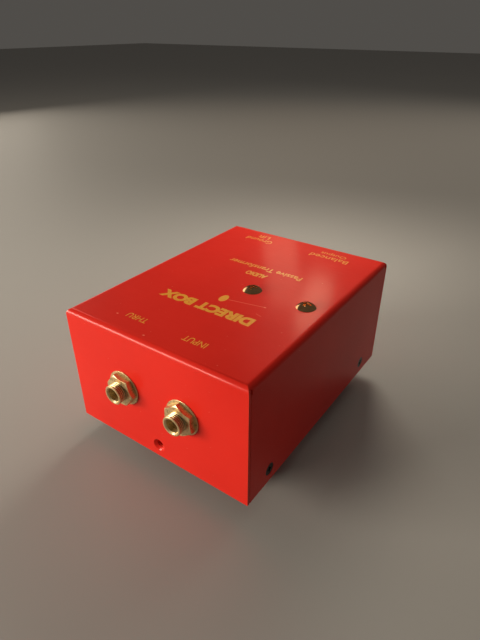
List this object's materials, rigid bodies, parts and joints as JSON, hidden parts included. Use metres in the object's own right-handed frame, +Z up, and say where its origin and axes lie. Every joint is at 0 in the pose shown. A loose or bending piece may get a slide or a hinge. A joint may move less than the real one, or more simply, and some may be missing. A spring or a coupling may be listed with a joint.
{
  "type": "direct injection box",
  "caption": "Passive direct injection box: folded red steel case with quarter-inch jacks in front, a three-pin output and a ground-lift toggle behind.",
  "frame": {"origin": "centre of the whole object's footprint, on the surface that the feet stand on", "axes": "+Z up, jacks face -Y, output connector and toggle face +Y, +X to the right of someone facing the jacks"},
  "size_m": [0.1016, 0.1588, 0.0772],
  "materials": {
    "red_enamel": "glossy baked enamel on steel",
    "black_oxide": "black oxide",
    "black_rubber": "matte",
    "zinc_steel": "zinc plated",
    "nickel": "bright nickel plate",
    "screw_nickel": "bright nickel plate",
    "phenolic": "paper phenolic",
    "contact_brass": "spring brass",
    "satin_nickel": "satin nickel on die casting",
    "black_plastic": "moulded",
    "silver_pins": "silver plate",
    "switch_plastic": "moulded",
    "ivory_plastic": "moulded nylon",
    "lamination": "stacked steel sheets",
    "winding": "copper wire under amber tape",
    "wire_orange": "insulation",
    "wire_black": "insulation",
    "wire_blue": "insulation",
    "wire_red": "insulation",
    "wire_green": "insulation"
  },
  "bodies": {
    "housing": {"cover_shell": "red_enamel", "base_pan": "red_enamel", "cover_screws": "black_oxide", "rubber_feet": "black_rubber", "foot_screws": "zinc_steel", "foot_nuts": "zinc_steel", "input_jack_bushing": "nickel", "input_jack_frame": "nickel", "input_jack_flat_washer": "nickel", "input_jack_nut": "nickel", "input_jack_lock_washer": "zinc_steel", "input_jack_wafers": "phenolic", "input_jack_rivet": "contact_brass", "input_jack_tip_lug": "contact_brass", "thru_jack_bushing": "nickel", "thru_jack_frame": "nickel", "thru_jack_flat_washer": "nickel", "thru_jack_nut": "nickel", "thru_jack_lock_washer": "zinc_steel", "thru_jack_wafers": "phenolic", "thru_jack_rivet": "contact_brass", "thru_jack_tip_lug": "contact_brass", "output_connector_shell": "satin_nickel", "output_connector_insert": "black_plastic", "output_connector_pins": "silver_pins", "output_connector_screws": "zinc_steel", "output_connector_nuts": "zinc_steel", "toggle_bushing": "nickel", "toggle_cover": "zinc_steel", "toggle_case": "switch_plastic", "toggle_terminals": "contact_brass", "toggle_nut": "nickel", "toggle_washer": "nickel", "toggle_lock_washer": "zinc_steel", "transformer_core": "lamination", "transformer_strap": "zinc_steel", "transformer_bobbin": "ivory_plastic", "transformer_winding": "winding", "transformer_screws": "screw_nickel", "transformer_lock_washers": "zinc_steel", "transformer_nuts": "zinc_steel", "tip_jumper": "wire_orange", "sleeve_jumper": "wire_black", "primary_leads": "wire_blue", "secondary_leads": "wire_red", "lift_wire": "wire_green", "chassis_wire": "wire_green"},
    "toggle_lever": {"toggle_lever": "nickel", "toggle_plunger": "ivory_plastic"},
    "toggle_rocker": {"toggle_rocker": "contact_brass"},
    "input_tip_spring": {"input_jack_tip_spring": "contact_brass"},
    "thru_tip_spring": {"thru_jack_tip_spring": "contact_brass"}
  },
  "joints": [
    {"name": "lever_throw", "type": "hinge", "parent": "housing", "child": "toggle_lever", "pos_m": [-0.022, 0.0653, 0.0436], "axis": [1, 0, 0], "range_deg": [-25, 0]},
    {"name": "rocker_tilt", "type": "hinge", "parent": "housing", "child": "toggle_rocker", "pos_m": [-0.022, 0.0545, 0.0436], "axis": [1, 0, 0], "range_deg": [0, 16]},
    {"name": "input_tip_spring_flex", "type": "hinge", "parent": "housing", "child": "input_tip_spring", "pos_m": [0.0173, -0.056, 0.0517], "axis": [1, 0, 0], "range_deg": [0, 9], "stiffness_Nm_per_rad": 0.05},
    {"name": "thru_tip_spring_flex", "type": "hinge", "parent": "housing", "child": "thru_tip_spring", "pos_m": [-0.0173, -0.056, 0.0517], "axis": [1, 0, 0], "range_deg": [0, 9], "stiffness_Nm_per_rad": 0.05}
  ],
  "couplings": [
    {"joint": "rocker_tilt", "follows": "lever_throw", "ratio": -0.64}
  ]
}
